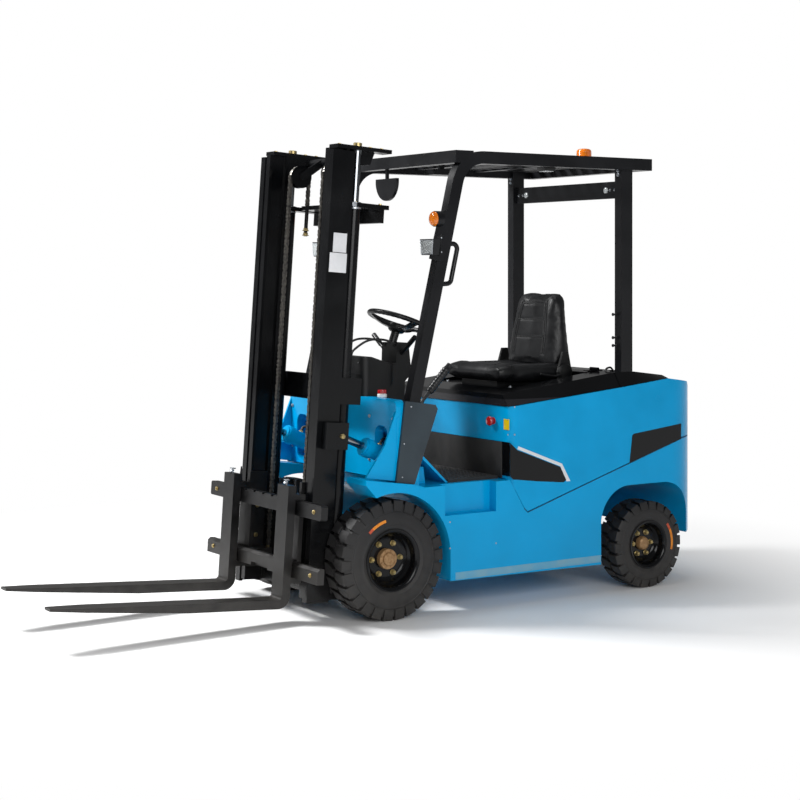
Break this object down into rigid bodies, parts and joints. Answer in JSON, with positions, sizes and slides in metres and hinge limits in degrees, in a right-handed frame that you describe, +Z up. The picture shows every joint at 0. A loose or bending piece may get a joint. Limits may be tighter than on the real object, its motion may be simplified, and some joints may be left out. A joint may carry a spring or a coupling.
{
  "type": "forklift truck",
  "caption": "Electric counterbalance forklift truck with a tilting lift mast, forks, overhead guard, seat and steered rear wheels.",
  "frame": {"origin": "on the floor under the middle of the truck's overall length and width", "axes": "+X forward along the forks, +Y to the truck's left, +Z up"},
  "size_m": [3.4092, 1.102, 2.208],
  "materials": {
    "blue_paint": "gloss",
    "black_gloss": "gloss",
    "black_satin": "satin",
    "slate_paint": "satin",
    "axle_iron": "satin",
    "weight_blue": "gloss",
    "fork_steel": "satin",
    "chrome_rod": "polished",
    "chain_steel": "oiled",
    "tyre_rubber": "matte",
    "black_plastic": "matte",
    "seat_vinyl": "satin",
    "amber_lens": "gloss",
    "battery_case": "matte"
  },
  "bodies": {
    "chassis": {"chassis_frame": "blue_paint", "counterweight": "weight_blue", "floor_panel": "black_satin", "front_cowl": "blue_paint", "pillar_covers": "slate_paint", "battery": "battery_case", "hood_cap": "black_gloss", "steering_column": "black_plastic", "controls": "black_plastic", "guard_frame": "black_satin", "roof_slats": "black_satin", "lamps": "black_plastic", "beacon": "amber_lens", "mirror": "black_plastic", "drive_axle": "axle_iron", "steer_axle": "axle_iron"},
    "hood": {"battery_hood": "black_gloss", "hood_skirt": "black_gloss", "seat_frame": "black_plastic", "seat_cushion": "seat_vinyl", "seat_back": "seat_vinyl"},
    "handwheel": {"steering_wheel": "black_plastic"},
    "mast": {"outer_rails": "black_gloss", "outer_ties": "black_gloss", "lift_barrels": "black_gloss"},
    "lift_frame": {"inner_rails": "black_gloss", "inner_ties": "black_gloss", "lift_rods": "chrome_rod", "chain_pulleys": "axle_iron", "chain_front": "chain_steel", "chain_back": "chain_steel"},
    "fork_carriage": {"carriage": "black_satin", "fork_left": "fork_steel", "fork_right": "fork_steel"},
    "tilt_barrel_left": {"tilt_barrel_left": "blue_paint"},
    "tilt_barrel_right": {"tilt_barrel_right": "blue_paint"},
    "tilt_rod_left": {"tilt_rod_left": "chrome_rod"},
    "tilt_rod_right": {"tilt_rod_right": "chrome_rod"},
    "knuckle_left": {"knuckle_left": "axle_iron"},
    "knuckle_right": {"knuckle_right": "axle_iron"},
    "wheel_front_left": {"rim_front_left": "black_gloss", "tyre_front_left": "tyre_rubber"},
    "wheel_front_right": {"rim_front_right": "black_gloss", "tyre_front_right": "tyre_rubber"},
    "wheel_rear_left": {"rim_rear_left": "black_gloss", "tyre_rear_left": "tyre_rubber"},
    "wheel_rear_right": {"rim_rear_right": "black_gloss", "tyre_rear_right": "tyre_rubber"}
  },
  "joints": [
    {"name": "mast_tilt", "type": "hinge", "parent": "chassis", "child": "mast", "pos_m": [0.27538, 0, 0.3], "axis": [0, 1, 0], "range_deg": [-6, 10]},
    {"name": "inner_lift", "type": "slide", "parent": "mast", "child": "lift_frame", "axis": [-0.0698, 0, 0.9976], "range_m": [0, 1.5], "deforming": ["chain_back"]},
    {"name": "carriage_lift", "type": "slide", "parent": "lift_frame", "child": "fork_carriage", "axis": [-0.0698, 0, 0.9976], "range_m": [0, 1.5], "deforming": ["chain_front"]},
    {"name": "hood_open", "type": "hinge", "parent": "chassis", "child": "hood", "pos_m": [-1.14462, 0, 1.078], "axis": [0, -1, 0], "range_deg": [0, 75]},
    {"name": "tilt_barrel_swing_left", "type": "hinge", "parent": "chassis", "child": "tilt_barrel_left", "pos_m": [-0.03962, 0.363, 0.65], "axis": [0, 1, 0], "range_deg": [-4.5, 7]},
    {"name": "tilt_rod_slide_left", "type": "slide", "parent": "tilt_barrel_left", "child": "tilt_rod_left", "axis": [0.9175, 0, 0.3978], "range_m": [-0.048, 0.079]},
    {"name": "wheel_front_left_spin", "type": "hinge", "parent": "chassis", "child": "wheel_front_left", "pos_m": [0.17538, 0.433, 0.271], "axis": [0, 1, 0], "continuous": true},
    {"name": "steer_left", "type": "hinge", "parent": "chassis", "child": "knuckle_left", "pos_m": [-1.30862, 0.366, 0.214], "axis": [0, 0, 1], "range_deg": [-50, 50]},
    {"name": "wheel_rear_left_spin", "type": "hinge", "parent": "knuckle_left", "child": "wheel_rear_left", "pos_m": [-1.30862, 0.469, 0.214], "axis": [0, 1, 0], "continuous": true},
    {"name": "tilt_barrel_swing_right", "type": "hinge", "parent": "chassis", "child": "tilt_barrel_right", "pos_m": [-0.03962, -0.363, 0.65], "axis": [0, 1, 0], "range_deg": [-4.5, 7]},
    {"name": "tilt_rod_slide_right", "type": "slide", "parent": "tilt_barrel_right", "child": "tilt_rod_right", "axis": [0.9175, 0, 0.3978], "range_m": [-0.048, 0.079]},
    {"name": "wheel_front_right_spin", "type": "hinge", "parent": "chassis", "child": "wheel_front_right", "pos_m": [0.17538, -0.433, 0.271], "axis": [0, 1, 0], "continuous": true},
    {"name": "steer_right", "type": "hinge", "parent": "chassis", "child": "knuckle_right", "pos_m": [-1.30862, -0.366, 0.214], "axis": [0, 0, 1], "range_deg": [-50, 50]},
    {"name": "wheel_rear_right_spin", "type": "hinge", "parent": "knuckle_right", "child": "wheel_rear_right", "pos_m": [-1.30862, -0.469, 0.214], "axis": [0, 1, 0], "continuous": true},
    {"name": "steering_wheel_turn", "type": "hinge", "parent": "chassis", "child": "handwheel", "pos_m": [-0.18262, 0, 1.325], "axis": [-0.342, 0, 0.9397], "range_deg": [-900, 900]}
  ],
  "couplings": [
    {"joint": "carriage_lift", "follows": "inner_lift", "ratio": 1},
    {"joint": "tilt_barrel_swing_left", "follows": "mast_tilt", "ratio": 0.655},
    {"joint": "tilt_rod_slide_left", "follows": "mast_tilt", "m_per_rad": 0.443},
    {"joint": "tilt_barrel_swing_right", "follows": "mast_tilt", "ratio": 0.655},
    {"joint": "tilt_rod_slide_right", "follows": "mast_tilt", "m_per_rad": 0.443},
    {"joint": "steer_right", "follows": "steer_left", "ratio": 1},
    {"joint": "steering_wheel_turn", "follows": "steer_left", "ratio": -18}
  ]
}
